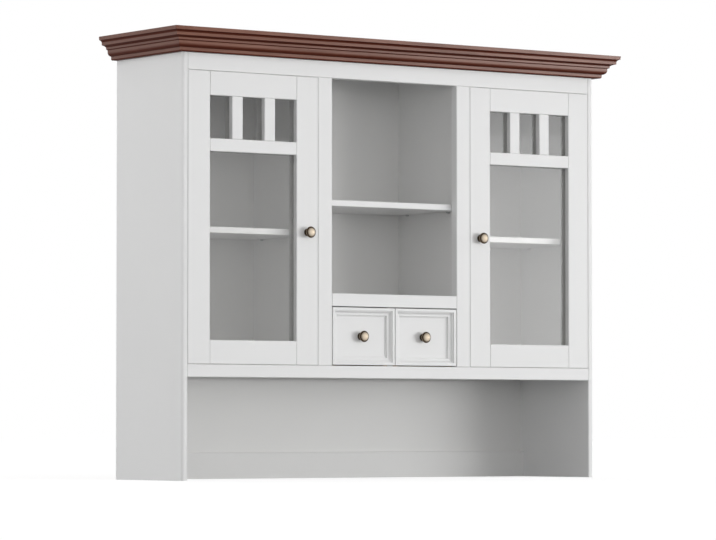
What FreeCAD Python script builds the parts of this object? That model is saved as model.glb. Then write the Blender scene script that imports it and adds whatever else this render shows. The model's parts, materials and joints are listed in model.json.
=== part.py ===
"""Hutch for a sideboard: painted case, two glazed doors, an open niche over two small
drawers, an open serving bay below and a stained, mitred cornice.

Lengths are millimetres. X runs to the right, Y to the rear and Z up. The model is drawn
with Y = 0 on the front face of the case, and it is moved when it is saved, so that the
origin lies under the middle of the whole hutch.
"""
import math
import os

import FreeCAD
import Part
from FreeCAD import Vector

# Case
CASE_WIDTH = 1300.0
CASE_DEPTH = 306.0
CASE_HEIGHT = 1119.5
SIDE_THICKNESS = 16.0
SIDE_EDGE_RADIUS = 7.0
TOP_THICKNESS = 16.0
FLOOR_THICKNESS = 16.0
PARTITION_THICKNESS = 16.0
NICHE_FLOOR_THICKNESS = 16.0
DIVIDER_THICKNESS = 16.0
HOUSING_DEPTH = 5.0
BACK_THICKNESS = 4.0
BACK_INSET = 8.0
BACK_GROOVE_DEPTH = 6.0
BACK_LIFT = 3.0
BACK_RAIL_HEIGHT = 68.0
BACK_RAIL_THICKNESS = 14.0
DOWEL_HOLE_DIAMETER = 8.0
DOWEL_HOLE_DEPTH = 20.0
DOWEL_INSET = 45.0

# Front frame
FRAME_THICKNESS = 22.0
EDGE_RADIUS = 2.0
FRIEZE_HEIGHT = 85.0
DOOR_OPENING_HEIGHT = 730.0
BOTTOM_RAIL_HEIGHT = 32.0
NICHE_WIDTH = 395.0
UPRIGHT_WIDTH = 43.0
NICHE_RAIL_HEIGHT = 32.9
DRAWER_OPENING_HEIGHT = 150.6
TENON_THICKNESS = 8.0
TENON_SETBACK = 4.0
TENON_SHOULDER = 8.0
TENON_END_GAP = 1.0
RAIL_TENON_LENGTH = 8.0
UPRIGHT_TENON_LENGTH = 10.0

# Cornice
CORNICE_HEIGHT = 58.5
CORNICE_OVERHANG = 54.0

# Shelves
SHELF_THICKNESS = 16.0
SHELF_EDGE_RADIUS = 2.0
SHELF_END_GAP = 1.0
SIDE_SHELF_RISE = 328.5
SIDE_SHELF_SETBACK = 40.0
NICHE_SHELF_RISE = 223.0
NICHE_SHELF_SETBACK = 24.0
PIN_DIAMETER = 5.0
PIN_LENGTH = 16.0
PIN_SEAT_DEPTH = 0.6
PIN_INSET = 45.0
PIN_FIT = 0.05

# Doors
DOOR_GAP = 0.8
DOOR_END_GAP = 0.5
DOOR_THICKNESS = 26.0
STILE_WIDTH = 65.5
DOOR_BOTTOM_RAIL_HEIGHT = 60.0
DOOR_TOP_RAIL_HEIGHT = 60.5
MID_RAIL_HEIGHT = 32.5
LIGHT_HEIGHT = 107.0
LIGHT_COUNT = 3
MULLION_WIDTH = 32.0
DOOR_TENON_LENGTH = 25.0
MULLION_TENON_LENGTH = 12.0
GLASS_SETBACK = 14.0
GLASS_THICKNESS = 4.0
GLASS_CLEARANCE = 1.0
REBATE_WIDTH = 9.0
BEAD_PROUD = 12.0

# Door pivots and catches
PIVOT_INSET = 22.0
PIVOT_SETBACK = 6.5
PIVOT_PIN_DIAMETER = 6.0
PIVOT_PIN_ENGAGEMENT = 9.0
PIVOT_RUNNING_GAP = 0.05
PIVOT_BUSH_DIAMETER = 9.0
PIVOT_BUSH_LENGTH = 12.0
PIVOT_PLATE_LENGTH = 40.0
PIVOT_PLATE_WIDTH = 9.0
PIVOT_PLATE_THICKNESS = 2.0
PIVOT_COLLAR_DIAMETER = 8.4
REST_GAP = 0.3
CATCH_RISE = 272.0
CATCH_HEIGHT = 44.0
CATCH_WIDTH = 14.0
CATCH_DEPTH = 20.0
STRIKE_HEIGHT = 34.0
STRIKE_WIDTH = 10.0
STRIKE_THICKNESS = 1.2
STRIKE_MARGIN = 2.0

# Drawers
DRAWER_GAP = 2.0
DRAWER_END_GAP = 2.2
DRAWER_FRONT_THICKNESS = 22.0
DRAWER_PANEL_RECESS = 15.0
DRAWER_MOULDING_WIDTH = 23.0
DRAWER_PANEL_REBATE = 8.0
DRAWER_PANEL_CLEARANCE = 0.5
DRAWER_STOP_GAP = 0.5
DRAWER_SIDE_GAP = 1.5
DRAWER_LIFT = 0.3
DRAWER_WALL = 12.0
DRAWER_BOX_DEPTH = 250.0
DRAWER_BOX_HEIGHT = 125.0
DRAWER_BACK_DROP = 8.0
DRAWER_BOTTOM_THICKNESS = 4.0
DRAWER_BOTTOM_RISE = 10.0
DRAWER_END_LIFT = 5.0
DRAWER_GROOVE_DEPTH = 6.0
GUIDE_HEIGHT = 25.0

# Knobs
KNOB_DIAMETER = 29.0
KNOB_PROJECTION = 26.0
KNOB_RISE = 335.0
KNOB_BORE_DEPTH = 10.0
KNOB_SCREW_DIAMETER = 4.0
KNOB_SCREW_HEAD_DIAMETER = 8.0
KNOB_SCREW_HEAD_HEIGHT = 3.0
KNOB_SCREW_FIT = 0.1

# Length by which a cutting shape runs past what it cuts
OVERRUN = 5.0

# Outlines. A step of one point is a straight line, a step of two points is an arc through
# the first to the second. Cornice points are shares of its overhang and of its height,
# counted down from its top outer edge.
CORNICE_START_SHARES = (1.0, 0.0)
CORNICE_STEP_SHARES = [
    [(0.985, 0.155)],
    [(0.896, 0.188), (0.845, 0.253)],
    [(0.84, 0.372)],
    [(0.720, 0.397), (0.61, 0.450)],
    [(0.60, 0.538)],
    [(0.525, 0.569)],
    [(0.52, 0.662)],
    [(0.47, 0.775), (0.33, 0.836)],
    [(0.325, 0.936)],
    [(0.308, 0.980), (0.265, 1.0)],
    [(0.0, 1.0)],
    [(0.0, 0.0)],
    [(1.0, 0.0)],
]

# Drawer moulding points are shares of its width, from its outer edge, and of the depth to
# the panel, from its front.
MOULDING_START_SHARES = (0.0, 0.06)
MOULDING_STEP_SHARES = [
    [(0.012, 0.018), (0.04, 0.0)],
    [(0.31, 0.0)],
    [(0.33, 0.28)],
    [(0.43, 0.31)],
    [(0.51, 0.54), (0.66, 0.62)],
    [(0.82, 0.64)],
    [(0.845, 0.92)],
    [(0.93, 0.96)],
    [(1.0, 1.0)],
]

# Glazing bead points are shares of the bead's width, from the frame, and of its depth,
# from the glass.
BEAD_START_SHARES = (0.0, 0.0)
BEAD_STEP_SHARES = [
    [(1.0, 0.0)],
    [(1.0, 0.72)],
    [(0.93, 0.92), (0.72, 1.0)],
    [(0.0, 1.0)],
    [(0.0, 0.0)],
]

# Knob points are shares of its radius and of its projection, up to the foot of its dome.
KNOB_START_SHARES = (0.0, 0.0)
KNOB_STEP_SHARES = [
    [(0.66, 0.0)],
    [(0.66, 0.06)],
    [(0.60, 0.11), (0.47, 0.13)],
    [(0.36, 0.27), (0.47, 0.42)],
    [(0.93, 0.52)],
    [(1.0, 0.59), (0.95, 0.66)],
    [(0.86, 0.71)],
    [(0.78, 0.70), (0.73, 0.72)],
]

# Places worked out from the sizes
half_width = CASE_WIDTH / 2
inner = half_width - SIDE_THICKNESS
top_under = CASE_HEIGHT - TOP_THICKNESS
opening_top = top_under - FRIEZE_HEIGHT
floor_top = opening_top - DOOR_OPENING_HEIGHT
bay_top = floor_top - BOTTOM_RAIL_HEIGHT
back_face = CASE_DEPTH - BACK_INSET - BACK_THICKNESS
upright_inner = NICHE_WIDTH / 2
upright_outer = upright_inner + UPRIGHT_WIDTH
partition_inner = upright_outer - PARTITION_THICKNESS
niche_rail_under = floor_top + DRAWER_OPENING_HEIGHT
niche_top = niche_rail_under + NICHE_RAIL_HEIGHT
niche_floor_under = niche_top - NICHE_FLOOR_THICKNESS
side_shelf_under = floor_top + SIDE_SHELF_RISE
niche_shelf_under = niche_top + NICHE_SHELF_RISE

door_inner = upright_outer + DOOR_GAP
door_outer = inner - DOOR_GAP
door_bottom = floor_top + DOOR_END_GAP
door_top = opening_top - DOOR_END_GAP
glass_inner = door_inner + STILE_WIDTH
glass_outer = door_outer - STILE_WIDTH
main_bottom = door_bottom + DOOR_BOTTOM_RAIL_HEIGHT
lights_top = door_top - DOOR_TOP_RAIL_HEIGHT
lights_bottom = lights_top - LIGHT_HEIGHT
main_top = lights_bottom - MID_RAIL_HEIGHT
light_width = (glass_outer - glass_inner - (LIGHT_COUNT - 1) * MULLION_WIDTH) / LIGHT_COUNT
light_pitch = light_width + MULLION_WIDTH
pivot_x = door_outer - PIVOT_INSET
knob_x = (door_inner + glass_inner) / 2
door_knob_z = door_bottom + KNOB_RISE
catch_z = floor_top + CATCH_RISE

drawer_left = DRAWER_GAP / 2
drawer_right = upright_inner - DRAWER_GAP
drawer_bottom = floor_top + DRAWER_END_GAP
drawer_top = niche_rail_under - DRAWER_END_GAP
drawer_knob_x = (drawer_left + drawer_right) / 2
drawer_knob_z = (drawer_bottom + drawer_top) / 2
box_left = DIVIDER_THICKNESS / 2 + DRAWER_SIDE_GAP
box_right = upright_inner - DRAWER_SIDE_GAP
box_bottom = floor_top + DRAWER_LIFT
box_top = box_bottom + DRAWER_BOX_HEIGHT
box_back = DRAWER_FRONT_THICKNESS + DRAWER_BOX_DEPTH

# Directions
RIGHT = Vector(1, 0, 0)
REAR = Vector(0, 1, 0)
UP = Vector(0, 0, 1)

# Move from the front face of the case to the middle of the whole hutch
origin_shift = REAR * ((CORNICE_OVERHANG - CASE_DEPTH) / 2)


def block(x_from, x_to, y_from, y_to, z_from, z_to):
    """Board between two corners."""
    size = (x_to - x_from, y_to - y_from, z_to - z_from)
    return Part.makeBox(*size, Vector(x_from, y_from, z_from))


def mirrored(shape):
    """The same piece for the other side of the hutch."""
    return shape.mirror(Vector(0, 0, 0), RIGHT)


def cut(shape, *tools):
    """Shape with every tool taken away."""
    for tool in tools:
        shape = shape.cut(tool)
    return shape


def ease_front(shape, radius, front=0.0):
    """Round the edges that lie in the plane of a board's front face."""
    edges = [edge for edge in shape.Edges
             if all(abs(vertex.Y - front) < radius / 10 for vertex in edge.Vertexes)]
    return shape.makeFillet(radius, edges)


def outline(start, steps, place):
    """Closed or open wire through steps of lines and arcs, with place(point) in space."""
    edges = []
    last = place(start)
    for step in steps:
        points = [place(point) for point in step]
        if len(points) == 1:
            edges.append(Part.LineSegment(last, points[0]).toShape())
        else:
            edges.append(Part.Arc(last, points[0], points[1]).toShape())
        last = points[-1]
    return Part.Wire(edges)


def prism(wire, way):
    """Solid swept straight from a closed wire, with its faces outward."""
    body = Part.Face(wire).extrude(way)
    if body.Volume < 0:
        body.reverse()
    return body


def moulding(corner, along, across, depth, length, profile, reach, mitres):
    """Bar of one profile along an edge, cut at its ends by mitres.

    profile is a start and steps in millimetres: across the bar and into its depth. reach
    is the bar's full width. A mitre of 1 shortens the end across the bar, -1 lengthens it
    and 0 leaves it square.
    """
    def at_start(point):
        return corner + along * -reach + across * point[0] + depth * point[1]

    start, steps = profile
    bar = prism(outline(start, steps, at_start), along * (length + 2 * reach))
    wide = reach + OVERRUN
    plan = [(0.0, 0.0), (length, 0.0), (length - mitres[1] * wide, wide), (mitres[0] * wide, wide)]
    points = [corner + along * run + across * width for run, width in plan]
    deep = max(abs(point[1]) for step in steps for point in step) + OVERRUN
    lower = [point - depth * deep for point in points]
    ends = prism(Part.makePolygon(lower + lower[:1]), depth * (2 * deep))
    return bar.common(ends).Solids[0]


def mitred_frame(x_from, x_to, y_front, z_from, z_to, profile, reach):
    """Four mitred bars round a rectangle, with their outer edges on it."""
    wide = x_to - x_from
    tall = z_to - z_from
    sides = [
        (Vector(x_from, y_front, z_from), RIGHT, UP, wide),
        (Vector(x_to, y_front, z_from), UP, -RIGHT, tall),
        (Vector(x_to, y_front, z_to), -RIGHT, -UP, wide),
        (Vector(x_from, y_front, z_to), -UP, RIGHT, tall),
    ]
    return [moulding(corner, along, across, REAR, length, profile, reach, (1, 1))
            for corner, along, across, length in sides]


def scaled(start, steps, wide, deep):
    """Outline of shares turned into millimetres."""
    def size(point):
        return (point[0] * wide, point[1] * deep)
    return size(start), [[size(point) for point in step] for step in steps]


def tenon_x(x_from, length, z_from, z_to, end_gap=0.0):
    """Stub tenon along X, or its mortise when an end gap is given."""
    ends = sorted((x_from, x_from + length + (end_gap if length > 0 else -end_gap)))
    return block(*ends, TENON_SETBACK, TENON_SETBACK + TENON_THICKNESS,
                 z_from + TENON_SHOULDER, z_to - TENON_SHOULDER)


def tenon_z(z_from, length, x_from, x_to, end_gap=0.0):
    """Stub tenon along Z, or its mortise when an end gap is given."""
    ends = sorted((z_from, z_from + length + (end_gap if length > 0 else -end_gap)))
    return block(x_from + TENON_SHOULDER, x_to - TENON_SHOULDER,
                 TENON_SETBACK, TENON_SETBACK + TENON_THICKNESS, *ends)


def pivot_plate_recess(z_face, up):
    """Room for a pivot plate in a rail whose face meets the door's end."""
    z_ends = sorted((z_face, z_face - up * PIVOT_PLATE_THICKNESS))
    return block(pivot_x - PIVOT_PLATE_LENGTH / 2, pivot_x + PIVOT_PLATE_LENGTH / 2,
                 PIVOT_SETBACK - PIVOT_PLATE_WIDTH / 2, PIVOT_SETBACK + PIVOT_PLATE_WIDTH / 2,
                 *z_ends)


def pivot_plate(z_face, up):
    """Plate let into a rail, with a collar and the pin that a door turns on."""
    foot = Vector(pivot_x, PIVOT_SETBACK, z_face)
    collar = Part.makeCylinder(PIVOT_COLLAR_DIAMETER / 2, DOOR_END_GAP - REST_GAP, foot, UP * up)
    pin = Part.makeCylinder(PIVOT_PIN_DIAMETER / 2, DOOR_END_GAP + PIVOT_PIN_ENGAGEMENT, foot, UP * up)
    return pivot_plate_recess(z_face, up).fuse([collar, pin]).removeSplitter()


def pivot_bush(z_end, up):
    """Sleeve in a door's end that turns on a pivot pin."""
    foot = Vector(pivot_x, PIVOT_SETBACK, z_end)
    sleeve = Part.makeCylinder(PIVOT_BUSH_DIAMETER / 2, PIVOT_BUSH_LENGTH, foot, UP * up)
    bore_radius = PIVOT_PIN_DIAMETER / 2 + PIVOT_RUNNING_GAP
    return sleeve.cut(Part.makeCylinder(bore_radius, PIVOT_BUSH_LENGTH, foot, UP * up))


def pivot_bush_bore(z_end, up):
    """Blind bore that takes a pivot bush."""
    foot = Vector(pivot_x, PIVOT_SETBACK, z_end)
    return Part.makeCylinder(PIVOT_BUSH_DIAMETER / 2, PIVOT_BUSH_LENGTH, foot, UP * up)


def shelf_pin_places():
    """Wall, direction into the wall, distance from the front and underside of each pin."""
    side_rows = (SIDE_SHELF_SETBACK + PIN_INSET, back_face - PIN_INSET)
    niche_rows = (NICHE_SHELF_SETBACK + PIN_INSET, back_face - PIN_INSET)
    places = [(inner, 1, row, side_shelf_under) for row in side_rows]
    places += [(upright_outer, -1, row, side_shelf_under) for row in side_rows]
    places += [(partition_inner, 1, row, niche_shelf_under) for row in niche_rows]
    return places


def shelf_pin(wall, inward, row, under, fit=0.0):
    """Round pin across a wall's face. Its free half has a flat seat for the shelf."""
    foot = Vector(wall - inward * PIN_LENGTH / 2, row, under - PIN_DIAMETER / 2 + PIN_SEAT_DEPTH)
    pin = Part.makeCylinder(PIN_DIAMETER / 2 + fit, PIN_LENGTH, foot, RIGHT * inward)
    free = sorted((wall, wall - inward * PIN_LENGTH))
    seat = block(*free, row - PIN_DIAMETER, row + PIN_DIAMETER, under, under + PIN_DIAMETER)
    return pin.cut(seat)


def pin_holes(wall, inward):
    """Holes for the shelf pins that stand in one wall."""
    return [shelf_pin(*place, fit=PIN_FIT) for place in shelf_pin_places()
            if place[:2] == (wall, inward)]


def side_panel():
    """Right side of the case."""
    board = block(inner, half_width, 0.0, CASE_DEPTH, 0.0, top_under)
    for face, radius in ((half_width, SIDE_EDGE_RADIUS), (inner, EDGE_RADIUS)):
        edges = [edge for edge in board.Edges
                 if all(max(abs(vertex.X - face), abs(vertex.Y)) < EDGE_RADIUS / 10
                        for vertex in edge.Vertexes)]
        board = board.makeFillet(radius, edges)
    back_groove = block(inner, inner + BACK_GROOVE_DEPTH, back_face, back_face + BACK_THICKNESS,
                        -OVERRUN, top_under + OVERRUN)
    floor_housing = block(inner, inner + HOUSING_DEPTH, FRAME_THICKNESS, back_face,
                          floor_top - FLOOR_THICKNESS, floor_top)
    mortises = [tenon_x(inner, RAIL_TENON_LENGTH, *span, TENON_END_GAP)
                for span in ((bay_top, floor_top), (opening_top, top_under))]
    dowel_holes = [Part.makeCylinder(DOWEL_HOLE_DIAMETER / 2, DOWEL_HOLE_DEPTH,
                                     Vector(inner + SIDE_THICKNESS / 2, row, 0), UP)
                   for row in (DOWEL_INSET, CASE_DEPTH - DOWEL_INSET)]
    return cut(board, back_groove, floor_housing, *mortises, *dowel_holes, *pin_holes(inner, 1))


def partition_slot(z_from, z_to):
    """Housings in a level board for the tops or feet of both partitions."""
    slot = block(partition_inner, upright_outer, FRAME_THICKNESS, back_face, z_from, z_to)
    return [slot, mirrored(slot)]


def top_board():
    """Top of the case, inside the cornice."""
    board = block(-half_width, half_width, 0.0, CASE_DEPTH, top_under, CASE_HEIGHT)
    back_groove = block(-inner - BACK_GROOVE_DEPTH, inner + BACK_GROOVE_DEPTH, back_face,
                        back_face + BACK_THICKNESS, top_under, top_under + BACK_GROOVE_DEPTH)
    return cut(board, back_groove, *partition_slot(top_under, top_under + HOUSING_DEPTH))


def cabinet_floor():
    """Floor of the cupboards and drawers."""
    reach = inner + HOUSING_DEPTH
    board = block(-reach, reach, FRAME_THICKNESS, back_face, floor_top - FLOOR_THICKNESS, floor_top)
    return cut(board, *partition_slot(floor_top - HOUSING_DEPTH, floor_top))


def partition():
    """Upright board between the right cupboard and the niche."""
    board = block(partition_inner, upright_outer, FRAME_THICKNESS, back_face,
                  floor_top - HOUSING_DEPTH, top_under + HOUSING_DEPTH)
    niche_housing = block(partition_inner, partition_inner + HOUSING_DEPTH, FRAME_THICKNESS,
                          back_face, niche_floor_under, niche_top)
    return cut(board, niche_housing, *pin_holes(upright_outer, -1), *pin_holes(partition_inner, 1))


def niche_floor():
    """Floor of the niche, over the drawers."""
    reach = partition_inner + HOUSING_DEPTH
    return block(-reach, reach, FRAME_THICKNESS, back_face, niche_floor_under, niche_top)


def case_rail(z_from, z_to, upright_face, upright_way):
    """Front rail between the sides, with mortises for the uprights and pivot recesses."""
    rail = ease_front(block(-inner, inner, 0.0, FRAME_THICKNESS, z_from, z_to), EDGE_RADIUS)
    tenon = tenon_x(inner, RAIL_TENON_LENGTH, z_from, z_to)
    rail = rail.fuse([tenon, mirrored(tenon)]).removeSplitter()
    mortise = tenon_z(upright_face, upright_way * UPRIGHT_TENON_LENGTH, upright_inner,
                      upright_outer, TENON_END_GAP)
    recess = pivot_plate_recess(upright_face, -upright_way)
    return cut(rail, mortise, mirrored(mortise), recess, mirrored(recess))


def upright():
    """Front upright between the right door and the niche."""
    post = block(upright_inner, upright_outer, 0.0, FRAME_THICKNESS, floor_top, opening_top)
    tenons = [tenon_z(opening_top, UPRIGHT_TENON_LENGTH, upright_inner, upright_outer),
              tenon_z(floor_top, -UPRIGHT_TENON_LENGTH, upright_inner, upright_outer)]
    mortise = tenon_x(upright_inner, UPRIGHT_TENON_LENGTH, niche_rail_under, niche_top, TENON_END_GAP)
    return ease_front(post, EDGE_RADIUS).fuse(tenons).removeSplitter().cut(mortise)


def niche_rail():
    """Front rail between the uprights, over the drawers."""
    rail = block(-upright_inner, upright_inner, 0.0, FRAME_THICKNESS, niche_rail_under, niche_top)
    tenon = tenon_x(upright_inner, UPRIGHT_TENON_LENGTH, niche_rail_under, niche_top)
    return ease_front(rail, EDGE_RADIUS).fuse([tenon, mirrored(tenon)]).removeSplitter()


def back_panel():
    """Thin back in grooves of the sides and the top."""
    reach = inner + BACK_GROOVE_DEPTH
    return block(-reach, reach, back_face, back_face + BACK_THICKNESS,
                 BACK_LIFT, top_under + BACK_GROOVE_DEPTH)


def back_rail():
    """Low rail across the back of the serving bay."""
    front = back_face - BACK_RAIL_THICKNESS
    rail = block(-inner, inner, front, back_face, 0.0, BACK_RAIL_HEIGHT)
    upper_edges = [edge for edge in rail.Edges
                   if all(vertex.Z > BACK_RAIL_HEIGHT / 2 and vertex.Y < back_face - EDGE_RADIUS
                          for vertex in edge.Vertexes)]
    return rail.makeFillet(EDGE_RADIUS, upper_edges)


def drawer_divider():
    """Board between the drawers. It stops both fronts."""
    half = DIVIDER_THICKNESS / 2
    return block(-half, half, DRAWER_FRONT_THICKNESS + DRAWER_STOP_GAP, back_face,
                 floor_top, niche_floor_under)


def drawer_guides():
    """Strips on the floor that steer the outer sides of the drawers."""
    strip = block(upright_inner, partition_inner, FRAME_THICKNESS, back_face,
                  floor_top, floor_top + GUIDE_HEIGHT)
    return [strip, mirrored(strip)]


def cornice():
    """Front moulding and the two returns, mitred at the front corners."""
    profile = scaled(CORNICE_START_SHARES, CORNICE_STEP_SHARES, CORNICE_OVERHANG, CORNICE_HEIGHT)
    front = moulding(Vector(-half_width, 0, CASE_HEIGHT), RIGHT, -REAR, -UP, CASE_WIDTH,
                     profile, CORNICE_OVERHANG, (-1, -1))
    right = moulding(Vector(half_width, 0, CASE_HEIGHT), REAR, RIGHT, -UP, CASE_DEPTH,
                     profile, CORNICE_OVERHANG, (-1, 0))
    return front, mirrored(right), right


def shelf(x_from, x_to, setback, under):
    """Loose shelf with a softened front edge."""
    board = block(x_from + SHELF_END_GAP, x_to - SHELF_END_GAP, setback, back_face,
                  under, under + SHELF_THICKNESS)
    return ease_front(board, SHELF_EDGE_RADIUS, setback)


def door_catch():
    """Magnetic catch on the right partition."""
    front = DOOR_THICKNESS + STRIKE_THICKNESS + REST_GAP
    body = block(upright_outer, upright_outer + CATCH_WIDTH, front, front + CATCH_DEPTH,
                 catch_z - CATCH_HEIGHT / 2, catch_z + CATCH_HEIGHT / 2)
    return ease_front(body, EDGE_RADIUS, front)


def dome_middle(radius, foot, tip):
    """Point halfway up a spherical dome, from its foot's radius and height to its tip."""
    rise = tip - foot
    ball_radius = (radius ** 2 + rise ** 2) / (2 * rise)
    half_angle = math.atan2(radius, ball_radius - rise) / 2
    return (ball_radius * math.sin(half_angle), tip - ball_radius + ball_radius * math.cos(half_angle))


def knob(x, y, z, grip):
    """Turned knob on a face at y, with the screw that clamps it through grip."""
    def at(point):
        return Vector(point[0], -point[1], 0)

    start, steps = scaled(KNOB_START_SHARES, KNOB_STEP_SHARES, KNOB_DIAMETER / 2, KNOB_PROJECTION)
    dome_foot = steps[-1][-1]
    steps += [[dome_middle(*dome_foot, KNOB_PROJECTION), (0.0, KNOB_PROJECTION)], [start]]
    seat = Vector(0, 0, 0)
    head = Part.Face(outline(start, steps, at)).revolve(seat, REAR, 360)
    bore = Part.makeCylinder(KNOB_SCREW_DIAMETER / 2 + KNOB_SCREW_FIT, KNOB_BORE_DEPTH, seat, -REAR)
    grip_end = REAR * grip
    shank = Part.makeCylinder(KNOB_SCREW_DIAMETER / 2, grip + KNOB_BORE_DEPTH, grip_end, -REAR)
    screw_head = Part.makeCylinder(KNOB_SCREW_HEAD_DIAMETER / 2, KNOB_SCREW_HEAD_HEIGHT, grip_end, REAR)
    screw = shank.fuse(screw_head).removeSplitter()
    return [solid.translated(Vector(x, y, z)) for solid in (head.cut(bore), screw)]


def knob_hole(x, y, z, grip):
    """Clearance hole for a knob's screw."""
    radius = KNOB_SCREW_DIAMETER / 2 + KNOB_SCREW_FIT
    return Part.makeCylinder(radius, grip, Vector(x, y, z), REAR)


def door_openings():
    """Sight openings of the right door: the main one, then the small lights."""
    openings = [(glass_inner, glass_outer, main_bottom, main_top)]
    for index in range(LIGHT_COUNT):
        start = glass_inner + index * light_pitch
        openings.append((start, start + light_width, lights_bottom, lights_top))
    return openings


def door_rebates():
    """Pockets behind the openings that take the panes and beads."""
    return [block(x_from - REBATE_WIDTH, x_to + REBATE_WIDTH, GLASS_SETBACK,
                  DOOR_THICKNESS + OVERRUN, z_from - REBATE_WIDTH, z_to + REBATE_WIDTH)
            for x_from, x_to, z_from, z_to in door_openings()]


def door_rails():
    """Heights of the right door's bottom, middle and top rails."""
    return {"bottom_rail": (door_bottom, main_bottom), "mid_rail": (main_top, lights_bottom),
            "top_rail": (lights_top, door_top)}


def door_stile(x_from, x_to, inner_edge, way):
    """Upright of the right door, with mortises in its inner edge."""
    post = block(x_from, x_to, 0.0, DOOR_THICKNESS, door_bottom, door_top)
    mortises = [tenon_x(inner_edge, way * DOOR_TENON_LENGTH, *span, TENON_END_GAP)
                for span in door_rails().values()]
    return cut(ease_front(post, EDGE_RADIUS), *door_rebates(), *mortises)


def mullion_spans():
    """Left and right edge of each upright bar between the small lights."""
    starts = [glass_inner + index * light_pitch + light_width for index in range(LIGHT_COUNT - 1)]
    return [(start, start + MULLION_WIDTH) for start in starts]


def door_rail(name):
    """Cross member of the right door, with tenons and mullion mortises."""
    z_from, z_to = door_rails()[name]
    rail = block(glass_inner, glass_outer, 0.0, DOOR_THICKNESS, z_from, z_to)
    tenons = [tenon_x(glass_inner, -DOOR_TENON_LENGTH, z_from, z_to),
              tenon_x(glass_outer, DOOR_TENON_LENGTH, z_from, z_to)]
    rail = ease_front(rail, EDGE_RADIUS).fuse(tenons).removeSplitter()
    faces = {"mid_rail": (z_to, -1), "top_rail": (z_from, 1)}
    if name in faces:
        face, way = faces[name]
        rail = cut(rail, *[tenon_z(face, way * MULLION_TENON_LENGTH, *span, TENON_END_GAP)
                           for span in mullion_spans()])
    return cut(rail, *door_rebates())


def mullions():
    """Upright bars between the small lights of the right door."""
    bars = []
    for span in mullion_spans():
        bar = block(*span, 0.0, DOOR_THICKNESS, lights_bottom, lights_top)
        tenons = [tenon_z(lights_bottom, -MULLION_TENON_LENGTH, *span),
                  tenon_z(lights_top, MULLION_TENON_LENGTH, *span)]
        bar = ease_front(bar, EDGE_RADIUS).fuse(tenons).removeSplitter()
        bars.append(cut(bar, *door_rebates()))
    return bars


def panes():
    """Glass of the right door."""
    lap = REBATE_WIDTH - GLASS_CLEARANCE
    return [block(x_from - lap, x_to + lap, GLASS_SETBACK, GLASS_SETBACK + GLASS_THICKNESS,
                  z_from - lap, z_to + lap)
            for x_from, x_to, z_from, z_to in door_openings()]


def glazing_beads():
    """Mitred strips that hold the panes of the right door in their rebates."""
    glass_back = GLASS_SETBACK + GLASS_THICKNESS
    bead_depth = DOOR_THICKNESS - glass_back + BEAD_PROUD
    profile = scaled(BEAD_START_SHARES, BEAD_STEP_SHARES, REBATE_WIDTH, bead_depth)
    beads = []
    for x_from, x_to, z_from, z_to in door_openings():
        beads += mitred_frame(x_from - REBATE_WIDTH, x_to + REBATE_WIDTH, glass_back,
                              z_from - REBATE_WIDTH, z_to + REBATE_WIDTH, profile, REBATE_WIDTH)
    return beads


def strike():
    """Steel plate on the back of the right door's knob stile."""
    start = door_inner + STRIKE_MARGIN
    return block(start, start + STRIKE_WIDTH, DOOR_THICKNESS, DOOR_THICKNESS + STRIKE_THICKNESS,
                 catch_z - STRIKE_HEIGHT / 2, catch_z + STRIKE_HEIGHT / 2)


def door():
    """Every piece of the right door by name."""
    bores = [pivot_bush_bore(door_bottom, 1), pivot_bush_bore(door_top, -1)]
    screw_hole = knob_hole(knob_x, 0.0, door_knob_z, DOOR_THICKNESS)
    pieces = {
        "hinge_stile": [cut(door_stile(glass_outer, door_outer, glass_outer, 1), *bores)],
        "knob_stile": [door_stile(door_inner, glass_inner, glass_inner, -1).cut(screw_hole)],
        "mullions": mullions(),
        "panes": panes(),
        "glazing_beads": glazing_beads(),
        "pivot_bushes": [pivot_bush(door_bottom, 1), pivot_bush(door_top, -1)],
        "strike": [strike()],
        "knob": knob(knob_x, 0.0, door_knob_z, DOOR_THICKNESS),
    }
    for name in door_rails():
        pieces[name] = [door_rail(name)]
    return pieces


def drawer_front_profile():
    """Section of the drawer's moulded frame, with a rebate for the panel behind it."""
    start, steps = scaled(MOULDING_START_SHARES, MOULDING_STEP_SHARES,
                          DRAWER_MOULDING_WIDTH, DRAWER_PANEL_RECESS)
    rebate = DRAWER_MOULDING_WIDTH - DRAWER_PANEL_REBATE
    steps += [[(rebate, DRAWER_PANEL_RECESS)], [(rebate, DRAWER_FRONT_THICKNESS)],
              [(0.0, DRAWER_FRONT_THICKNESS)], [start]]
    return start, steps


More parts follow.
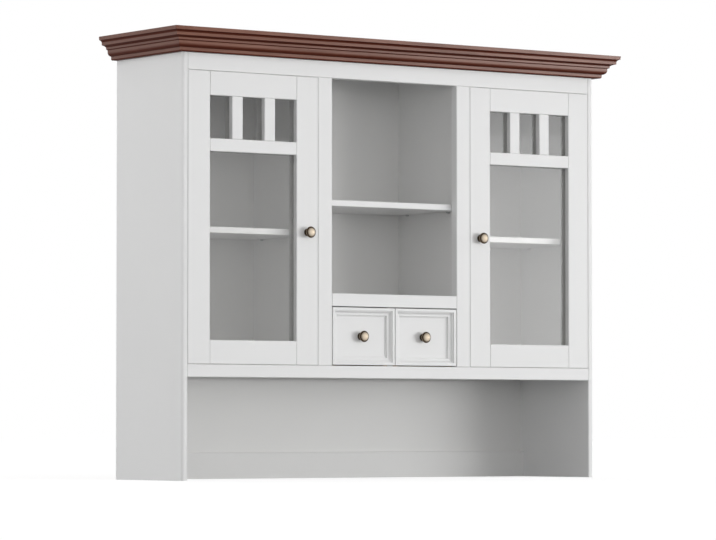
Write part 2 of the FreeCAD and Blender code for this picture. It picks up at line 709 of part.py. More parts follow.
def drawer():
    """Every piece of the right drawer by name."""
    front = DRAWER_FRONT_THICKNESS
    grip = front - DRAWER_PANEL_RECESS + DRAWER_WALL
    screw_hole = knob_hole(drawer_knob_x, DRAWER_PANEL_RECESS, drawer_knob_z, grip)
    edge = DRAWER_MOULDING_WIDTH - DRAWER_PANEL_REBATE + DRAWER_PANEL_CLEARANCE
    panel = block(drawer_left + edge, drawer_right - edge, DRAWER_PANEL_RECESS, front,
                  drawer_bottom + edge, drawer_top - edge)
    inner_left = box_left + DRAWER_WALL
    inner_right = box_right - DRAWER_WALL
    bottom_under = box_bottom + DRAWER_BOTTOM_RISE
    bottom_top = bottom_under + DRAWER_BOTTOM_THICKNESS
    bottom = block(inner_left - DRAWER_GROOVE_DEPTH, inner_right + DRAWER_GROOVE_DEPTH,
                   front + DRAWER_WALL - DRAWER_GROOVE_DEPTH, box_back, bottom_under, bottom_top)
    sides = [block(box_left, inner_left, front, box_back, box_bottom, box_top),
             block(inner_right, box_right, front, box_back, box_bottom, box_top)]
    ends = [block(inner_left, inner_right, front, front + DRAWER_WALL,
                  box_bottom + DRAWER_END_LIFT, box_top),
            block(inner_left, inner_right, box_back - DRAWER_WALL, box_back,
                  bottom_top, box_top - DRAWER_BACK_DROP)]
    return {
        "front_frame": mitred_frame(drawer_left, drawer_right, 0.0, drawer_bottom, drawer_top,
                                    drawer_front_profile(), DRAWER_MOULDING_WIDTH),
        "front_panel": [panel.cut(screw_hole)],
        "box_sides": [side.cut(bottom) for side in sides],
        "box_ends": [cut(end, bottom, screw_hole) for end in ends],
        "box_bottom": [bottom],
        "knob": knob(drawer_knob_x, DRAWER_PANEL_RECESS, drawer_knob_z, grip),
    }


def save(node, shapes):
    """Write one node as a STEP file, in the frame of the whole hutch."""
    solids = [solid for shape in shapes for solid in shape.Solids]
    node_shape = solids[0] if len(solids) == 1 else Part.makeCompound(solids)
    node_shape.translated(origin_shift).exportStep(f"parts/{node}.step")


def save_pair(name, solids):
    """Write the right-hand piece and its mirror image."""
    save(f"{name}_right", solids)
    save(f"{name}_left", [mirrored(solid) for solid in solids])


def main():
    os.makedirs("parts", exist_ok=True)
    save_pair("side", [side_panel()])
    save_pair("partition", [partition()])
    save_pair("upright", [upright()])
    save_pair("shelf", [shelf(upright_outer, inner, SIDE_SHELF_SETBACK, side_shelf_under)])
    save("shelf_niche", [shelf(-partition_inner, partition_inner, NICHE_SHELF_SETBACK, niche_shelf_under)])
    save("top_board", [top_board()])
    save("cabinet_floor", [cabinet_floor()])
    save("niche_floor", [niche_floor()])
    save("frieze_rail", [case_rail(opening_top, top_under, opening_top, 1)])
    save("bottom_rail", [case_rail(bay_top, floor_top, floor_top, -1)])
    save("niche_rail", [niche_rail()])
    save("back_panel", [back_panel()])
    save("back_rail", [back_rail()])
    save("drawer_divider", [drawer_divider()])
    save("drawer_guides", drawer_guides())
    for name, bar in zip(("front", "left", "right"), cornice()):
        save(f"cornice_{name}", [bar])
    pins = [shelf_pin(*place) for place in shelf_pin_places()]
    save("shelf_pins", pins + [mirrored(pin) for pin in pins])
    plates = [pivot_plate(floor_top, 1), pivot_plate(opening_top, -1)]
    save("pivot_plates", plates + [mirrored(plate) for plate in plates])
    save("door_catches", [door_catch(), mirrored(door_catch())])
    for group, pieces in (("door", door()), ("drawer", drawer())):
        for name, solids in pieces.items():
            save(f"{group}_right_{name}", solids)
            save(f"{group}_left_{name}", [mirrored(solid) for solid in solids])


main()
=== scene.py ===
"""Looks of the hutch: its finishes, turned knobs, screws and nails, light and camera.

Lengths are metres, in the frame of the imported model: X to the right, Y to the rear, Z up.
"""
import json
import math

import bmesh
import bpy
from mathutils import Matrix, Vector


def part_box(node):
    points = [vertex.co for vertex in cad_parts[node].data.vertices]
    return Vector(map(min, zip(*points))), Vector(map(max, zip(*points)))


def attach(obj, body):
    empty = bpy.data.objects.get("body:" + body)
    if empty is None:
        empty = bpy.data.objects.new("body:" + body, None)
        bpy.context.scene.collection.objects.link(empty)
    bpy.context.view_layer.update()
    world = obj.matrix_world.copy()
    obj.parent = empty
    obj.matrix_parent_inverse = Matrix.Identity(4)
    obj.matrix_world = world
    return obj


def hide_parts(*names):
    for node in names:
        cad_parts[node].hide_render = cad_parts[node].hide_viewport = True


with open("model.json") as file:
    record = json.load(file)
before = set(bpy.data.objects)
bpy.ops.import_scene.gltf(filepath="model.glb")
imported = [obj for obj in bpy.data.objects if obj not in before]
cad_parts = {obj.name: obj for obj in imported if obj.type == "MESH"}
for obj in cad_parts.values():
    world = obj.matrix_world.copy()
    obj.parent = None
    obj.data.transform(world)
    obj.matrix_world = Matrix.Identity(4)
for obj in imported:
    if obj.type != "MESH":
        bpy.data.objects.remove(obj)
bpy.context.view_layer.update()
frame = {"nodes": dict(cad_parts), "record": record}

# Ends of a mask, a pattern that isn't stretched, and the level past which a mask is on
BLACK = (0.0, 0.0, 0.0, 1.0)
WHITE = (1.0, 1.0, 1.0, 1.0)
EVEN_STRETCH = (1.0, 1.0, 1.0)
SWITCH = 0.5

# Camera, at the photograph's view
CAMERA_PLACE = Vector((-5.917, -8.267, 0.129))
CAMERA_TURN = math.radians(35.467)
CAMERA_PITCH = math.radians(2.312)
CAMERA_LENS = 197.49

# Light. A lamp is its place, its width and height, and its power in watts.
LAMP_TARGET = Vector((0.0, 0.0, 0.6))
LAMPS = {
    "key": (Vector((8.8, -10.9, 0.25)), (8.0, 0.46), 515.0),
    "side_panes": (Vector((7.2, -6.4, 0.85)), (7.0, 1.5), 25.0),
    "right_pane": (Vector((3.0, -3.6, 0.9)), (0.95, 0.95), 5.5),
    "left_fill": (Vector((-6.5, 1.4, 0.9)), (3.0, 1.6), 50.0),
}
SKY_LEVEL = 0.52
HORIZON_LEVEL = 2.70
HORIZON_FALL = 9.0
WHITE_LEVEL = 1.0
FLOOR_SIZE = 60.0
FLOOR_COLOUR = (0.40, 0.40, 0.40, 1.0)
FLOOR_GLOW = 0.78

# Finishes. A noise is its scale, its detail and its distortion. A grain is its stretch along and
# across the wood, its detail and its distortion. Dulling is the roughness that a pattern adds,
# and relief is the share of the relief height that a finish shows.
RELIEF_HEIGHT = 0.0002

# Paint
PAINT_PALE = (0.850, 0.850, 0.848, 1.0)
PAINT_DEEP = (0.815, 0.816, 0.815, 1.0)
PAINT_CLOUD = (5.0, 2.0, 0.0)
PAINT_PEEL = (420.0, 2.0, 0.0)
PAINT_ROUGHNESS = 0.36
PAINT_CLOUD_DULLING = 0.10
PAINT_PEEL_DULLING = 0.06
PAINT_RELIEF = 0.10
PAINT_INDEX = 1.46

# Inner boards and the back board. The inner boards' white paint is a shade deeper than the
# outside's, as painted shade inside the cupboards and the niche.
INNER_SHADED_PALE = (0.803, 0.801, 0.794, 1.0)
INNER_SHADED_DEEP = (0.768, 0.766, 0.759, 1.0)
INNER_ROUGHNESS = 0.50
INNER_BOARDS = ("back_rail", "cabinet_floor", "niche_floor", "partition_")
# The back board's white is deeper still: painted shade on the backs of the bay and the niche
BOARD_SHADED_PALE = (0.785, 0.783, 0.773, 1.0)
BOARD_SHADED_DEEP = (0.755, 0.753, 0.743, 1.0)
BOARD_FIBRE = (160.0, 5.0, 0.6)
BOARD_ROUGHNESS = 0.50
BOARD_FIBRE_DULLING = 0.12
BOARD_RELIEF = 0.12
HARDBOARD_PALE = (0.300, 0.180, 0.095, 1.0)
HARDBOARD_DEEP = (0.205, 0.115, 0.058, 1.0)
HARDBOARD_FIBRE_SHARE = 0.55
HARDBOARD_DULLING = 0.22

# Stained wood of the cornice
STAIN_DEEP = (0.125, 0.040, 0.022, 1.0)
STAIN_MIDDLE = (0.212, 0.086, 0.056, 1.0)
STAIN_PALE = (0.275, 0.122, 0.083, 1.0)
# Painted shade on the faces that look down: its colour, then where it starts and is full by how far a
# face looks down
STAIN_UNDER_SHADE = (0.074, 0.015, 0.007, 1.0)
STAIN_UNDER_SHADE_START = 0.08
STAIN_UNDER_SHADE_END = 0.60
STAIN_GRAIN = (3.0, 46.0, 4.0, 0.8)
STAIN_FIBRE = (9.0, 420.0, 3.0, 0.0)
STAIN_GRAIN_SHARE = 0.62
STAIN_TONES = [(0.30, STAIN_DEEP), (0.52, STAIN_MIDDLE), (0.74, STAIN_PALE)]
STAIN_ROUGHNESS = 0.48
STAIN_FIBRE_DULLING = 0.16
STAIN_RELIEF = 0.12
STAIN_SPECULAR = 0.05
POLISH_ROUGHNESS = 0.40
# A length by its grain: its share of deep stain, which is painted shade on the side lengths,
# its polish, and the rise of polish to the right, which is a painted sheen
STAIN_LENGTH_SHADE_SHEEN = {"X": (0.0, 0.52, 0.50), "Y": (0.72, 0.75, 0.0)}

# Pine of the drawer boxes
PINE_DEEP = (0.470, 0.290, 0.140, 1.0)
PINE_MIDDLE = (0.640, 0.450, 0.255, 1.0)
PINE_PALE = (0.720, 0.545, 0.345, 1.0)
PINE_RINGS = (1.2, 34.0, 2.0, 1.2)
PINE_FIBRE = (14.0, 500.0, 3.0, 0.0)
PINE_RING_SHARE = 0.75
PINE_TONES = [(0.30, PINE_DEEP), (0.46, PINE_MIDDLE), (0.70, PINE_PALE)]
PINE_ROUGHNESS = 0.48
PINE_FIBRE_DULLING = 0.18
PINE_RELIEF = 0.15

# Brass of the knobs, and the steel of their screws and the other fittings
BRASS_BRIGHT = (0.790, 0.690, 0.555, 1.0)
BRASS_WARM = (0.620, 0.515, 0.392, 1.0)
BRASS_DARK = (0.038, 0.024, 0.014, 1.0)
BRASS_MOTTLE = (260.0, 4.0, 0.0)
BRASS_SCUFF = (900.0, 3.0, 0.0)
BRASS_ROUGHNESS = 0.30
BRASS_MOTTLE_DULLING = 0.22
BRASS_SCUFF_DULLING = 0.08
BRASS_RELIEF = 0.10
PATINA_MOTTLE = 0.30
PATINA_START = 0.12
PATINA_END = 0.80
ZINC_PALE = (0.640, 0.645, 0.650, 1.0)
ZINC_DEEP = (0.480, 0.485, 0.495, 1.0)
ZINC_SPANGLE_SCALE = 420.0
ZINC_SPANGLE_SHARE = 0.6
ZINC_SCUFF = (700.0, 3.0, 0.0)
ZINC_ROUGHNESS = 0.28
ZINC_SCUFF_DULLING = 0.22

# Glass, and the plastic of the catches and glazing beads. The beads' grey is painted shade, for
# the dark band of the rebate behind the glass.
GLASS_TINT = (0.968, 0.967, 0.962, 1.0)
GLASS_STRAIGHT_TINT = (0.936, 0.935, 0.930, 1.0)
GLASS_INDEX = 1.45
GLASS_WIPE_STRETCH = (9.0, 9.0, 4.0)
GLASS_WIPE = (1.0, 3.0, 1.5)
GLASS_WIPE_DULLING = 0.012
PLASTIC_PALE = (0.800, 0.795, 0.770, 1.0)
PLASTIC_DEEP = (0.740, 0.735, 0.705, 1.0)
# Painted shade: the beads' grey darkens the band beside each pane
BEAD_SHADED_PALE = (0.470, 0.469, 0.462, 1.0)
BEAD_SHADED_DEEP = (0.425, 0.424, 0.417, 1.0)
PLASTIC_CLOUD = (40.0, 2.0, 0.0)
PLASTIC_GRAIN = (1500.0, 2.0, 0.0)
PLASTIC_ROUGHNESS = 0.46
PLASTIC_GRAIN_DULLING = 0.14
PLASTIC_RELIEF = 0.15

# Knobs. Each step ends at a share of the radius, a share of the projection and a share of
# patina. A step with a middle point bends through it.
KNOB_SEGMENTS = 64
KNOB_BEND_POINTS = 7
KNOB_CREASE = math.radians(40.0)
KNOB_START_SHARES = (0.0, 0.0, 1.0)
KNOB_STEP_SHARES = [
    [(0.66, 0.0, 1.0)],
    [(0.66, 0.06, 0.85)],
    [(0.60, 0.11), (0.47, 0.13, 1.0)],
    [(0.36, 0.27), (0.47, 0.42, 1.0)],
    [(0.93, 0.52, 0.15)],
    [(1.0, 0.59), (0.95, 0.66, 0.75)],
    [(0.86, 0.71, 1.0)],
    [(0.78, 0.70), (0.73, 0.72, 0.50)],
    [(0.56, 0.868), (0.0, 1.0, 0.0)],
]

# Fixings. The shares are of the head's width, and of the boxes of the pieces that are fixed.
HEAD_SEGMENTS = 20
HEAD_TOP_SHARE = 0.40
RECESS_LONG_SHARE = 0.62
RECESS_WIDE_SHARE = 0.15
SCREW_HEAD = 0.0062
SCREW_RISE = 0.0009
SCREW_RECESS = 0.0006
FLUSH_RISE = 0.00025
FLUSH_RECESS = 0.00015
KNOB_SCREW_HEAD = 0.008
KNOB_SCREW_RISE = 0.003
KNOB_SCREW_RECESS = 0.0016
NAIL_HEAD = 0.005
NAIL_RISE = 0.0006
NAIL_PITCH = 0.085
NAIL_END = 0.030
DRAWER_WALL = 0.012
DRAWER_NAIL_GAPS = 3
CATCH_SCREW_SHARE = 0.30
STRIKE_SCREW_SHARE = 0.32
PLATE_SCREW_SHARE = 0.62
FRONT_SCREW_SHARE = 0.34
TOP_SCREW_INSET = 0.045
TOP_SCREW_COUNT = 4
ROLL_SEED = 7

RIGHT = Vector((1.0, 0.0, 0.0))
REAR = Vector((0.0, 1.0, 0.0))
UP = Vector((0.0, 0.0, 1.0))
SIDES = {"right": 1.0, "left": -1.0}


class Value:
    """A node's output in an expression. Arithmetic on it adds Math nodes."""

    def __init__(self, nodes, socket):
        self.nodes = nodes
        self.socket = socket

    def __getitem__(self, name):
        return Value(self.nodes, self.socket.node.outputs[name])

    def math(self, operation, first, second):
        return self.nodes.node("ShaderNodeMath", {"operation": operation}, {0: first, 1: second})

    def __add__(self, other):
        return self.math("ADD", self, other)

    def __radd__(self, other):
        return self.math("ADD", other, self)

    def __sub__(self, other):
        return self.math("SUBTRACT", self, other)

    def __rsub__(self, other):
        return self.math("SUBTRACT", other, self)

    def __mul__(self, other):
        return self.math("MULTIPLY", self, other)

    def __rmul__(self, other):
        return self.math("MULTIPLY", other, self)

    def __pow__(self, other):
        return self.math("POWER", self, other)

    def __gt__(self, other):
        return self.math("GREATER_THAN", self, other)


class Nodes:
    """A node tree in the making."""

    def __init__(self, tree):
        self.tree = tree

    def node(self, kind, settings=None, sockets=None):
        """Add a node: its settings first, then the values or links of its sockets."""
        made = self.tree.nodes.new(kind)
        for name, setting in (settings or {}).items():
            if name == "stops":
                set_stops(made.color_ramp, setting)
            else:
                setattr(made, name, setting)
        for name, value in (sockets or {}).items():
            for each in value if isinstance(value, list) else [value]:
                if isinstance(each, Value):
                    self.tree.links.new(each.socket, made.inputs[name])
                else:
                    made.inputs[name].default_value = each
        return Value(self, made.outputs[0]) if made.outputs else None


def set_stops(ramp, stops):
    """Colour ramp with the given positions and colours."""
    while len(ramp.elements) < len(stops):
        ramp.elements.new(1.0)
    for element, (position, colour) in zip(ramp.elements, stops):
        element.position = position
        element.color = colour


def new_finish(name):
    """Empty material and its node tree."""
    material = bpy.data.materials.new(name)
    material.use_nodes = True
    material.node_tree.nodes.clear()
    return material, Nodes(material.node_tree)


def show(nodes, shader):
    """End a material with its shader."""
    nodes.node("ShaderNodeOutputMaterial", None, {"Surface": shader})


def stretched(nodes, stretch=EVEN_STRETCH):
    """Object coordinates, stretched along each axis."""
    place = nodes.node("ShaderNodeTexCoord")["Object"]
    return nodes.node("ShaderNodeMapping", None, {"Vector": place, "Scale": stretch})


def noise(nodes, place, scale, detail, distortion):
    """Soft random pattern from 0 to 1."""
    return nodes.node("ShaderNodeTexNoise", None, {
        "Vector": place, "Scale": scale, "Detail": detail, "Distortion": distortion})


def wood_grain(nodes, along, lengthwise, crosswise, detail, distortion):
    """Soft random pattern, drawn out along one axis."""
    place = stretched(nodes, tuple(lengthwise if axis == along else crosswise for axis in "XYZ"))
    return noise(nodes, place, 1.0, detail, distortion)


def shared(first, second, share):
    """A share of the first pattern, and the rest of the second."""
    return share * first + (1.0 - share) * second


def part_along(nodes, vector, axis):
    """One part of a vector."""
    return nodes.node("ShaderNodeSeparateXYZ", None, {"Vector": vector})[axis]


def face_along(nodes, axis):
    """How far a face looks along an axis."""
    return part_along(nodes, nodes.node("ShaderNodeTexCoord")["Normal"], axis)


def blend(nodes, share, first, second):
    """Colour between two others."""
    return nodes.node("ShaderNodeMix", {"data_type": "RGBA"}, {0: share, 6: first, 7: second})[2]


def ramp(nodes, share, stops):
    """Colour along a row of stops."""
    return nodes.node("ShaderNodeValToRGB", {"stops": stops}, {"Fac": share})


def relief(nodes, height, share):
    """Normal of a surface with fine relief."""
    return nodes.node("ShaderNodeBump", None, {
        "Height": height, "Strength": share, "Distance": RELIEF_HEIGHT})


def principled(nodes, sockets):
    """Surface shader."""
    return nodes.node("ShaderNodeBsdfPrincipled", None, sockets)


def sprayed_paint(name, deep, pale, roughness):
    """White sprayed paint: faint clouds in tone and sheen, and the skin of the spray."""
    material, nodes = new_finish(name)
    place = stretched(nodes)
    cloud = noise(nodes, place, *PAINT_CLOUD)
    peel = noise(nodes, place, *PAINT_PEEL)
    show(nodes, principled(nodes, {
        "Base Color": blend(nodes, cloud, deep, pale),
        "Roughness": roughness + PAINT_CLOUD_DULLING * cloud + PAINT_PEEL_DULLING * peel,
        "IOR": PAINT_INDEX,
        "Normal": relief(nodes, peel, PAINT_RELIEF),
    }))
    return material


def painted_board():
    """Back board: matt white paint, deepened as painted shade, on its front; bare brown hardboard on its
    rear.
    """
    material, nodes = new_finish("painted_board")
    place = stretched(nodes)
    cloud = noise(nodes, place, *PAINT_CLOUD)
    fibre = noise(nodes, place, *BOARD_FIBRE)
    rear = face_along(nodes, "Y") > SWITCH
    # Painted shade: the front's white is deeper than the outside paint
    paint = blend(nodes, cloud, BOARD_SHADED_DEEP, BOARD_SHADED_PALE)
    mottle = shared(fibre, cloud, HARDBOARD_FIBRE_SHARE)
    hardboard = blend(nodes, mottle, HARDBOARD_DEEP, HARDBOARD_PALE)
    show(nodes, principled(nodes, {
        "Base Color": blend(nodes, rear, paint, hardboard),
        "Roughness": BOARD_ROUGHNESS + HARDBOARD_DULLING * rear + BOARD_FIBRE_DULLING * fibre,
        "Normal": relief(nodes, fibre, BOARD_RELIEF),
    }))
    return material


def stained_wood(name, along):
    """Red-brown stained wood, grained along one axis. The faces that look down are painted darker
    and lose their coat, as painted shade."""
    material, nodes = new_finish(name)
    grain = wood_grain(nodes, along, *STAIN_GRAIN)
    fibre = wood_grain(nodes, along, *STAIN_FIBRE)
    tone = ramp(nodes, shared(grain, fibre, STAIN_GRAIN_SHARE), STAIN_TONES)
    # The sides' share of deep stain is painted shade, and the polish that rises to the right is a
    # painted sheen
    side_shade_share, middle_polish, painted_sheen_rise = STAIN_LENGTH_SHADE_SHEEN[along]
    coat_and_sheen = middle_polish + part_along(nodes, stretched(nodes), "X") * painted_sheen_rise
    under = face_along(nodes, "Z") * -1.0
    # Painted shade: the more a face looks down, the darker and less coated it is
    under_shade = ramp(nodes, under, [(STAIN_UNDER_SHADE_START, BLACK), (STAIN_UNDER_SHADE_END, WHITE)])
    show(nodes, principled(nodes, {
        "Base Color": blend(nodes, under_shade, blend(nodes, side_shade_share, tone, STAIN_DEEP), STAIN_UNDER_SHADE),
        "Roughness": STAIN_ROUGHNESS + STAIN_FIBRE_DULLING * fibre,
        "Specular IOR Level": STAIN_SPECULAR,
        "Coat Weight": (1.0 - under_shade) * coat_and_sheen,
        "Coat Roughness": POLISH_ROUGHNESS,
        "Normal": relief(nodes, fibre, STAIN_RELIEF),
    }))
    return material


def pine(name, along):
    """Pale pine with darker late wood along one axis."""
    material, nodes = new_finish(name)
    rings = wood_grain(nodes, along, *PINE_RINGS)
    fibre = wood_grain(nodes, along, *PINE_FIBRE)
    show(nodes, principled(nodes, {
        "Base Color": ramp(nodes, shared(rings, fibre, PINE_RING_SHARE), PINE_TONES),
        "Roughness": PINE_ROUGHNESS + PINE_FIBRE_DULLING * fibre,
        "Normal": relief(nodes, fibre, PINE_RELIEF),
    }))
    return material


def antique_brass():
    """Brass rubbed bright on its high parts, with dark patina in its hollows."""
    material, nodes = new_finish("antique_brass")
    place = stretched(nodes)
    mottle = noise(nodes, place, *BRASS_MOTTLE)
    scuff = noise(nodes, place, *BRASS_SCUFF)
    patina = nodes.node("ShaderNodeAttribute", {"attribute_name": "patina"})["Fac"]
    uneven = patina + PATINA_MOTTLE * mottle - PATINA_MOTTLE / 2
    dark = ramp(nodes, uneven, [(PATINA_START, BLACK), (PATINA_END, WHITE)])
    metal = blend(nodes, mottle, BRASS_WARM, BRASS_BRIGHT)
    show(nodes, principled(nodes, {
        "Base Color": blend(nodes, dark, metal, BRASS_DARK),
        "Metallic": 1.0,
        "Roughness": BRASS_ROUGHNESS + BRASS_MOTTLE_DULLING * mottle + BRASS_SCUFF_DULLING * scuff,
        "Normal": relief(nodes, scuff, BRASS_RELIEF),
    }))
    return material


def zinc_steel():
    """Zinc-plated steel with a faint spangle."""
    material, nodes = new_finish("zinc_steel")
    place = stretched(nodes)
    spangle = nodes.node("ShaderNodeTexVoronoi", None, {
        "Vector": place, "Scale": ZINC_SPANGLE_SCALE})
    scuff = noise(nodes, place, *ZINC_SCUFF)
    show(nodes, principled(nodes, {
        "Base Color": blend(nodes, shared(spangle, scuff, ZINC_SPANGLE_SHARE), ZINC_DEEP, ZINC_PALE),
        "Metallic": 1.0,
        "Roughness": ZINC_ROUGHNESS + ZINC_SCUFF_DULLING * scuff,
    }))
    return material


def moulded_plastic(name, deep, pale):
    """Moulded plastic with a fine eroded texture."""
    material, nodes = new_finish(name)
    place = stretched(nodes)
    grain = noise(nodes, place, *PLASTIC_GRAIN)
    cloud = noise(nodes, place, *PLASTIC_CLOUD)
    show(nodes, principled(nodes, {
        "Base Color": blend(nodes, cloud, deep, pale),
        "Roughness": PLASTIC_ROUGHNESS + PLASTIC_GRAIN_DULLING * grain,
        "Normal": relief(nodes, grain, PLASTIC_RELIEF),
    }))
    return material


def clear_glass():
    """Float glass with a trace of wiping marks. The light on what is behind it goes straight
    through, less the share that the glass mirrors."""
    material, nodes = new_finish("clear_glass")
    wipe = noise(nodes, stretched(nodes, GLASS_WIPE_STRETCH), *GLASS_WIPE)
    glass = principled(nodes, {
        "Base Color": GLASS_TINT,
        "Roughness": GLASS_WIPE_DULLING * wipe,
        "IOR": GLASS_INDEX,
        "Transmission Weight": 1.0,
    })
    clear = nodes.node("ShaderNodeBsdfTransparent", None, {"Color": GLASS_STRAIGHT_TINT})
    ray = nodes.node("ShaderNodeLightPath")
    straight = ray["Is Shadow Ray"] + ray["Is Diffuse Ray"]
    show(nodes, nodes.node("ShaderNodeMixShader", None, {0: straight, 1: glass, 2: clear}))
    return material


def floor_finish():
    """Pale floor that reads as white and still takes the hutch's shadow."""
    material, nodes = new_finish("floor_finish")
    matt = nodes.node("ShaderNodeBsdfDiffuse", None, {"Color": FLOOR_COLOUR})
    glow = nodes.node("ShaderNodeEmission", None, {"Strength": FLOOR_GLOW * seen_white(nodes)})
    show(nodes, nodes.node("ShaderNodeAddShader", None, {0: matt, 1: glow}))
    return material


def seen_white(nodes):
    """1 for rays that look at the background or mirror it, 0 for rays that light the hutch."""
    ray = nodes.node("ShaderNodeLightPath")
    seen = ray["Is Camera Ray"] + ray["Is Glossy Ray"] + ray["Is Transmission Ray"]
    return (seen - ray["Diffuse Depth"]) > SWITCH


def object_from(name, mesh):
    """New object in the scene, at the origin."""
    piece = bpy.data.objects.new(name, mesh)
    bpy.context.scene.collection.objects.link(piece)
    return piece


def mesh_from(name, shape):
    """Plain mesh from a bmesh."""
    mesh = bpy.data.meshes.new(name)
    shape.to_mesh(mesh)
    shape.free()
    return mesh


def knob_outline():
    """Points of the turned outline: share of radius, share of projection, share of patina."""
    points = [KNOB_START_SHARES]
    for step in KNOB_STEP_SHARES:
        start, end = points[-1], step[-1]
        if len(step) == 1:
            points.append(end)
            continue
        pull = [2 * middle - (first + last) / 2 for middle, first, last in zip(step[0], start, end)]
        for index in range(1, KNOB_BEND_POINTS + 1):
            share = index / KNOB_BEND_POINTS
            bend = [(1 - share) ** 2 * first + 2 * share * (1 - share) * middle + share ** 2 * last
                    for first, middle, last in zip(start, pull, end)]
            points.append((*bend, start[2] + share * (end[2] - start[2])))
    return points


def knob(body, seat_node, finish):
    """Turned knob in the place of a body's knob node."""
    node = f"{body}_knob"
    low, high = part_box(node)
    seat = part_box(seat_node)[0].y
    radius = (high.x - low.x) / 2
    projection = seat - low.y
    middle = Vector(((low.x + high.x) / 2, seat, (low.z + high.z) / 2))
    shape = bmesh.new()
    patina = shape.verts.layers.float.new("patina")
    rings = []
    for reach, rise, dark in knob_outline():
        count = KNOB_SEGMENTS if reach > 0 else 1
        ring = []
        for index in range(count):
            angle = 2 * math.pi * index / count
            across = RIGHT * math.cos(angle) + UP * math.sin(angle)
            point = shape.verts.new(middle + across * (radius * reach) - REAR * (projection * rise))
            point[patina] = dark
            ring.append(point)
        rings.append(ring)
    for first, second in zip(rings, rings[1:]):
        for index in range(KNOB_SEGMENTS):
            after = (index + 1) % KNOB_SEGMENTS
            corners = [first[index % len(first)], first[after % len(first)],
                       second[after % len(second)], second[index % len(second)]]
            shape.faces.new(list(dict.fromkeys(corners))).smooth = True
    bmesh.ops.recalc_face_normals(shape, faces=shape.faces)
    mesh = mesh_from(f"{node}_turned", shape)
    mesh.set_sharp_from_angle(angle=KNOB_CREASE)
    mesh.materials.append(finish)
    piece = object_from(mesh.name, mesh)
    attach(piece, body)
    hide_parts(node)


def fixing_tree(name, crossed):
    """Tree that sets a round head on each point, turned to the point's facing."""
    tree = bpy.data.node_groups.new(name, "GeometryNodeTree")
    nodes = Nodes(tree)
    sockets = tree.interface
    sockets.new_socket("Points", in_out="INPUT", socket_type="NodeSocketGeometry")
    for size in ("Head", "Rise", "Recess"):
        sockets.new_socket(size, in_out="INPUT", socket_type="NodeSocketFloat")
    sockets.new_socket("Seed", in_out="INPUT", socket_type="NodeSocketInt")
    sockets.new_socket("Finish", in_out="INPUT", socket_type="NodeSocketMaterial")
    sockets.new_socket("Heads", in_out="OUTPUT", socket_type="NodeSocketGeometry")
    given = nodes.node("NodeGroupInput")
    head = nodes.node("GeometryNodeMeshCone", None, {
        "Vertices": HEAD_SEGMENTS, "Radius Bottom": 1 / 2 * given["Head"],
        "Radius Top": HEAD_TOP_SHARE * given["Head"], "Depth": given["Rise"]})
    if crossed:
        head = crossed_head(nodes, head, given)
    facing = nodes.node("GeometryNodeInputNamedAttribute", {"data_type": "FLOAT_VECTOR"},
                        {"Name": "facing"})
    turned = nodes.node("FunctionNodeAlignRotationToVector", {"axis": "Z"}, {"Vector": facing})
    angle = nodes.node("FunctionNodeRandomValue", {"data_type": "FLOAT"},
                       {2: 0.0, 3: math.tau, "Seed": given["Seed"]})[1]
    roll = nodes.node("FunctionNodeAxisAngleToRotation", None, {"Axis": UP, "Angle": angle})
    rolled = nodes.node("FunctionNodeRotateRotation", {"rotation_space": "LOCAL"},
                        {"Rotation": turned, "Rotate By": roll})
    heads = nodes.node("GeometryNodeInstanceOnPoints", None, {
        "Points": given["Points"], "Instance": head, "Rotation": rolled})
    solid = nodes.node("GeometryNodeRealizeInstances", None, {"Geometry": heads})
    done = nodes.node("GeometryNodeSetMaterial", None, {"Geometry": solid, "Material": given["Finish"]})
    nodes.node("NodeGroupOutput", None, {"Heads": done})
    return tree


def crossed_head(nodes, head, given):
    """Head with a cross-shaped recess in its face."""
    long = RECESS_LONG_SHARE * given["Head"]
    wide = RECESS_WIDE_SHARE * given["Head"]
    deep = 2 * given["Recess"]
    lift = nodes.node("ShaderNodeCombineXYZ", None, {"Z": given["Rise"]})
    bars = []
    for across, along in ((long, wide), (wide, long)):
        size = nodes.node("ShaderNodeCombineXYZ", None, {"X": across, "Y": along, "Z": deep})
        bar = nodes.node("GeometryNodeMeshCube", None, {"Size": size})
        bars.append(nodes.node("GeometryNodeTransform", None, {"Geometry": bar, "Translation": lift}))
    return nodes.node("GeometryNodeMeshBoolean", {"operation": "DIFFERENCE"},
                      {"Mesh 1": head, "Mesh 2": bars})


def fixings(name, body, places, tree, sizes, finish):
    """One mesh of screws or nails on a body. A place is a point and the way that it faces."""
    start = bpy.data.meshes.new(f"{name}_points")
    start.from_pydata([point for point, _ in places], [], [])
    facing = start.attributes.new("facing", "FLOAT_VECTOR", "POINT")
    facing.data.foreach_set("vector", [part for _, way in places for part in way])
    piece = object_from(name, start)
    modifier = piece.modifiers.new("heads", "NODES")
    modifier.node_group = tree
    inputs = {item.name: item.identifier for item in tree.interface.items_tree if item.in_out == "INPUT"}
    for label, value in {**sizes, "Seed": ROLL_SEED, "Finish": finish}.items():
        modifier[inputs[label]] = value
    evaluated = piece.evaluated_get(bpy.context.evaluated_depsgraph_get())
    mesh = bpy.data.meshes.new_from_object(evaluated)
    piece.modifiers.remove(modifier)
    piece.data = mesh
    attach(piece, body)


def middle_of(node):
    """Middle of a CAD node's box."""
    low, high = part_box(node)
    return (low + high) / 2


def spaced(first, last, pitch):
    """Even places from first to last, about a pitch apart."""
    count = max(1, round((last - first) / pitch))
    return [first + (last - first) * index / count for index in range(count + 1)]


def catch_screw_places():
    """Two screws through the inner side of each catch."""
    low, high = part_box("door_catches")
    middle = (low + high) / 2
    rise = (high.z - low.z) * CATCH_SCREW_SHARE
    return [(Vector((side * high.x, middle.y, middle.z + way * rise)), RIGHT * side)
            for side in SIDES.values() for way in (1, -1)]


